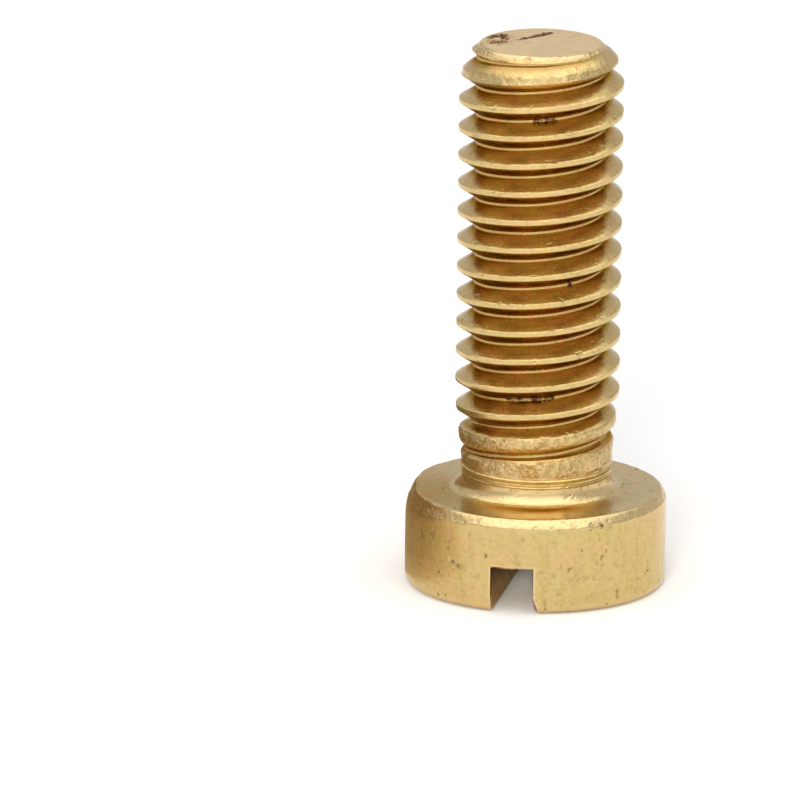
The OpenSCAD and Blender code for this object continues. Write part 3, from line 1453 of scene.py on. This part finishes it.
    def blots(self, graph: Graph, seen: Sockets) -> bpy.types.NodeSocket:
        """Break the stains of the dents up into blots.

        Args:
            graph: The material's graph.
            seen: Its patterns and coats.

        Returns:
            How dark the blots are, from 0 to 1.
        """
        specks = graph.math("SUBTRACT", seen["fine"], MEAN_NOISE)
        clumps = graph.math("SUBTRACT", seen["clumps"], MEAN_NOISE)
        blots = graph.math("ADD", specks, seen["stain"])
        blots = graph.math("MULTIPLY_ADD", clumps, self.clumpy_blots, blots)
        stains = graph.graded(seen["stain"], self.stain_share)
        return graph.math("MULTIPLY", graph.graded(blots, self.blot_share), stains)

    def metal(self, graph: Graph, seen: Sockets, skin: bpy.types.NodeSocket) -> bpy.types.NodeSocket:
        """Colour the brass, from the clean metal to its browned, lightened, saw-cut and crumbly parts, with
        shade and highlights painted in.

        Args:
            graph: The material's graph.
            seen: Its patterns and coats.
            skin: How brown the tarnishing and the painted shade are.

        Returns:
            The colour.
        """
        colour = graph.mix(graph.graded(seen["broad"], self.green_share), self.golden, self.greenish)
        colour = graph.mix(graph.graded(seen["patches"], self.rosy_share), colour, self.rosy)
        mottle = graph.graded(seen["mottle"], self.mottle_share)
        smears = graph.graded(seen["smears"], self.smear_share)
        colour = graph.mix(graph.math("ADD", mottle, smears), colour, self.dull)
        brown = graph.mix(graph.graded(seen["patches"], self.red_share), self.tarnish_and_shade_brown, self.reddened)
        colour = graph.mix(skin, colour, brown)
        # Worn edges and crests turn lighter, partly as painted highlight.
        colour = graph.mix(graph.math("MULTIPLY", seen["rub_and_highlight"], self.rub_and_highlight_share), colour, self.rub_and_highlight_colour)
        colour = graph.mix(graph.math("MULTIPLY", seen["matt"], self.matt_share), colour, self.sawn_and_lit)
        crumbs = graph.math("MULTIPLY", seen["crumble"], graph.graded(seen["clumps"], self.crumb_share))
        return graph.mix(crumbs, colour, self.crumbly)

    def rough(self, graph: Graph, seen: Sockets, spots: bpy.types.NodeSocket) -> bpy.types.NodeSocket:
        """Grade the roughness.

        Args:
            graph: The material's graph.
            seen: Its patterns and coats.
            spots: How dark the blots and specks are.

        Returns:
            The roughness.
        """
        rough = graph.graded(seen["patches"], self.roughness)
        rough = graph.math("MULTIPLY_ADD", spots, self.dirt_roughness, rough)
        rough = graph.math("MULTIPLY_ADD", seen["crumble"], self.crumble_roughness, rough)
        rough = graph.math("MULTIPLY_ADD", seen["matt"], self.matt_roughness, rough)
        return graph.math("ADD", graph.graded(seen["tarnish_and_shade"], self.tarnish_roughness), rough)

    def marks(self, graph: Graph, seen: Sockets, pits: bpy.types.NodeSocket) -> bpy.types.NodeSocket:
        """Raise the tool's marks, the specks and the clumps, and sink the pits.

        Args:
            graph: The material's graph.
            seen: Its patterns and coats.
            pits: How deep the pits are.

        Returns:
            The bumped normal.
        """
        height = graph.math("MULTIPLY_ADD", seen["lines"], self.line_height, seen["streaks"])
        height = graph.math("MULTIPLY_ADD", seen["mottle"], self.mottle_height, height)
        specks = graph.graded(seen["crumble"], self.speckle_height)
        height = graph.math("MULTIPLY_ADD", seen["speckle"], specks, height)
        clumps = graph.graded(seen["crumble"], self.clump_height)
        height = graph.math("MULTIPLY_ADD", seen["clumps"], clumps, height)
        height = graph.math("MULTIPLY_ADD", pits, self.pit_height, height)
        sockets = {"Strength": 1.0, "Distance": self.mark_height * MM, "Height": height}
        return graph.add("ShaderNodeBump", sockets).outputs["Normal"]


@dataclass(frozen=True)
class FloorFinish:
    """Plain white paper under the screw, faintly clouded."""

    name: str = "pale_paper"
    colour: Colour = (0.61, 0.605, 0.6, 1.0)
    cloudy: Colour = (0.55, 0.55, 0.55, 1.0)
    fibre: Grain = Grain(0.4, 4.0)
    cloud_share: Grade = Grade(0.3, 0.7, 0.0, 0.04)
    roughness: float = 0.9

    def build(self) -> bpy.types.Material:
        """Make the material.

        Returns:
            The material, which reads object coordinates.
        """
        graph = Graph(self.name)
        clouds = graph.graded(graph.noise(graph.place(), self.fibre), self.cloud_share)
        graph.shade(Base_Color=graph.mix(clouds, self.colour, self.cloudy), Roughness=self.roughness)
        return graph.material


@dataclass
class MachineScrew:
    """The whole screw, which is one piece of brass."""

    name: str = "brass_screw"
    head: CheeseHead = field(default_factory=lambda: CheeseHead(dents=HEAD_DENTS))
    shank: Shank = field(default_factory=lambda: Shank(dents=SHANK_DENTS))
    end: CutEnd = field(default_factory=lambda: CutEnd(dents=END_DENTS))
    finish: BrassFinish = field(default_factory=BrassFinish)
    crease: float = 38.0

    def build(self) -> bpy.types.Object:
        """Build the screw as one closed mesh and put it in the CAD screw's place.

        Returns:
            The screw's object, which rides on the root body.
        """
        bm = self.head.build()
        LOG.info("head: %d faces", len(bm.faces))
        shank = self.shank.build()
        LOG.info("shank: %d faces", len(shank.faces))
        self.end.build(shank, open_edges(shank, self.shank.top - NEAR, self.shank.top + NEAR))
        take_in(bm, shank)
        neck = open_edges(bm, self.shank.foot, self.shank.foot + self.shank.thread.pitch)
        bmesh.ops.bridge_loops(bm, edges=neck)
        bmesh.ops.recalc_face_normals(bm, faces=bm.faces)
        loose = sum(1 for e in bm.edges if not e.is_manifold)
        LOG.info("screw: %d faces, %d open edges, %d at the neck", len(bm.faces), loose, len(neck))
        bmesh.ops.triangulate(bm, faces=[f for f in bm.faces if len(f.verts) > 4])
        bmesh.ops.transform(bm, matrix=Matrix.Scale(MM, 4), verts=bm.verts)
        mesh = bpy.data.meshes.new(self.name)
        bm.to_mesh(mesh)
        bm.free()
        mesh.shade_smooth()
        mesh.set_sharp_from_angle(angle=math.radians(self.crease))
        screw = bpy.data.objects.new(self.name, mesh)
        bpy.context.scene.collection.objects.link(screw)
        mesh.materials.append(self.finish.build())
        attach(screw, BODY)
        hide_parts(NODE)
        LOG.info("%s rides on %s and stands for %s", screw.name, BODY, NODE)
        return screw


@dataclass(frozen=True)
class Softbox:
    """A square soft light that faces the screw, of an even radiance."""

    name: str
    azimuth: float
    elevation: float
    distance: float
    side: float
    radiance: float
    reflected: bool = True
    colour: tuple[float, float, float] = (1.0, 1.0, 1.0)

    def build(self, target: Vector) -> bpy.types.Object:
        """Hang the light.

        Args:
            target: Point that it faces, in metres.

        Returns:
            The light.
        """
        turn, rise = math.radians(self.azimuth), math.radians(self.elevation)
        out = Vector((math.sin(turn) * math.cos(rise), -math.cos(turn) * math.cos(rise), math.sin(rise)))
        data = bpy.data.lights.new(self.name, "AREA")
        data.shape = "SQUARE"
        data.size = self.side
        data.color = self.colour
        data.energy = self.radiance * math.pi * self.side ** 2
        light = bpy.data.objects.new(self.name, data)
        light.visible_camera = False
        light.visible_glossy = self.reflected
        light.location = target + out * self.distance
        light.rotation_mode = "QUATERNION"
        light.rotation_quaternion = out.to_track_quat("Z", "Y")
        bpy.context.scene.collection.objects.link(light)
        return light


@dataclass(frozen=True)
class Flag:
    """A slanting brown card beside the screw, seen only as a reflection, so that it shades one side."""

    name: str = "brown_flag"
    start: tuple[float, float] = (-5.3, -6.4)
    end: tuple[float, float] = (-3.9, 13.0)
    lean: tuple[float, float] = (-3.4, -0.4)
    height: float = 5.2
    fade: float = 4.0
    foot_gap: float = 0.05
    rise: Grade = Grade(1.0 * MM, 3.2 * MM)
    foot_fade: Grade = Grade(0.0, 0.8 * MM, 0.3, 1.0)
    pale: Colour = (0.6, 0.55, 0.48, 1.0)
    low_colour: Colour = (0.35, 0.285, 0.195, 1.0)
    high_colour: Colour = (0.19, 0.13, 0.065, 1.0)
    roughness: float = 0.9

    def build(self) -> bpy.types.Object:
        """Lean the card away from the screw.

        Returns:
            The card, which is part of the stage.
        """
        bm = bmesh.new()
        foot = [bm.verts.new((*corner, self.foot_gap)) for corner in (self.start, self.end)]
        edge = bm.edges.new(foot)
        made = bmesh.ops.extrude_edge_only(bm, edges=[edge])["geom"]
        top = [g for g in made if isinstance(g, BMVert)]
        bmesh.ops.translate(bm, verts=top, vec=(*self.lean, self.height))
        bmesh.ops.transform(bm, matrix=Matrix.Scale(MM, 4), verts=bm.verts)
        mesh = bpy.data.meshes.new(self.name)
        bm.to_mesh(mesh)
        bm.free()
        mesh.materials.append(self.shading_material())
        card = bpy.data.objects.new(self.name, mesh)
        card.visible_camera = False
        card.visible_diffuse = False
        card.visible_shadow = False
        bpy.context.scene.collection.objects.link(card)
        return card

    def shading_material(self) -> bpy.types.Material:
        """Make the card's material, whose colours set the painted shade that it throws on the screw's side:
        paler at its near end and along its foot.

        Returns:
            The material.
        """
        graph = Graph("shading_card")
        parts = graph.add("ShaderNodeSeparateXYZ", {0: graph.place()}).outputs
        near_end = Grade(self.start[1] * MM, (self.start[1] + self.fade) * MM)
        raised = graph.graded(parts["Z"], self.foot_fade)
        shown = graph.math("MULTIPLY", graph.graded(parts["Y"], near_end), raised)
        brown = graph.mix(graph.graded(parts["Z"], self.rise), self.low_colour, self.high_colour)
        graph.shade(Base_Color=graph.mix(shown, self.pale, brown), Roughness=self.roughness)
        return graph.material


@dataclass(frozen=True)
class Viewpoint:
    """Where the camera stands, as measured in the photograph's 800 x 800 pixels."""

    azimuth: float = 10.2
    elevation: float = 14.96
    roll: float = 0.813
    distance: float = 0.45
    target_height: float = 0.0097
    target_px: tuple[float, float] = (538.4, 311.85)
    px_per_mm: float = 28.64
    photo_side: float = 800.0
    sensor: float = 36.0

    def build(self) -> bpy.types.Object:
        """Place the camera and make it the scene's own.

        Returns:
            The camera.
        """
        turn, rise, roll = (math.radians(a) for a in (self.azimuth, self.elevation, self.roll))
        ahead = Vector((-math.sin(turn) * math.cos(rise), math.cos(turn) * math.cos(rise), -math.sin(rise)))
        level = Vector((math.cos(turn), math.sin(turn), 0))
        upright = level.cross(ahead)
        right = level * math.cos(roll) + upright * math.sin(roll)
        up = upright * math.cos(roll) - level * math.sin(roll)
        focal_px = self.px_per_mm / MM * self.distance
        middle = self.photo_side / 2
        ray = Vector((self.target_px[0] - middle, middle - self.target_px[1], -focal_px))
        facing = Matrix((right, up, -ahead)).transposed().to_quaternion()
        data = bpy.data.cameras.new("camera")
        data.sensor_width = self.sensor
        data.lens = focal_px * self.sensor / self.photo_side
        data.clip_start = 0.01
        data.clip_end = 10.0
        camera = bpy.data.objects.new("camera", data)
        camera.rotation_mode = "QUATERNION"
        camera.location = Vector((0, 0, self.target_height)) - ahead * self.distance
        camera.rotation_quaternion = facing @ ray.rotation_difference(Vector((0, 0, -1)))
        bpy.context.scene.collection.objects.link(camera)
        bpy.context.scene.camera = camera
        return camera


@dataclass
class Studio:
    """The pale floor, the brown card that paints shade on one side of the screw, the soft lights and the
    camera.
    """

    floor_side: float = 3.0
    sky: float = 0.7
    viewpoint: Viewpoint = field(default_factory=Viewpoint)
    flag: Flag = field(default_factory=Flag)
    lights: tuple[Softbox, ...] = (
        Softbox("top_softbox", azimuth=10, elevation=78, distance=0.6, side=1.1, radiance=0.5),
        Softbox("wide_softbox", azimuth=10, elevation=76, distance=0.62, side=1.9, radiance=0.55),
        Softbox("front_fill", azimuth=10, elevation=35, distance=0.8, side=1.4, radiance=0.4),
        Softbox(
            "paper_light", azimuth=110, elevation=62, distance=0.5, side=0.5, radiance=0.4, reflected=False
        ),
        Softbox(
            "slot_light",
            azimuth=4,
            elevation=11,
            distance=0.6,
            side=0.2,
            radiance=68.0,
            reflected=False,
            colour=(1.0, 0.92, 0.8),
        ),
    )

    def build(self) -> None:
        """Lay the floor, hang the lights and place the camera."""
        bm = bmesh.new()
        bmesh.ops.create_grid(bm, x_segments=2, y_segments=2, size=self.floor_side / 2)
        mesh = bpy.data.meshes.new("floor")
        bm.to_mesh(mesh)
        bm.free()
        mesh.materials.append(FloorFinish().build())
        floor = bpy.data.objects.new("floor", mesh)
        bpy.context.scene.collection.objects.link(floor)
        world = bpy.data.worlds.new("sky")
        world.use_nodes = True
        background = world.node_tree.nodes["Background"]
        background.inputs["Color"].default_value = (1.0, 1.0, 1.0, 1.0)
        background.inputs["Strength"].default_value = self.sky
        bpy.context.scene.world = world
        self.flag.build()
        for light in self.lights:
            light.build(Vector((0, 0, self.viewpoint.target_height)))
        self.viewpoint.build()
        bpy.context.scene.view_settings.view_transform = "Standard"


def main() -> None:
    """Build the screw and its studio."""
    logging.basicConfig(level=logging.INFO, format="%(name)s %(message)s")
    screw = MachineScrew().build()
    LOG.info("%s has %d vertices", screw.name, len(screw.data.vertices))
    Studio().build()


if __name__ == "__main__":
    main()
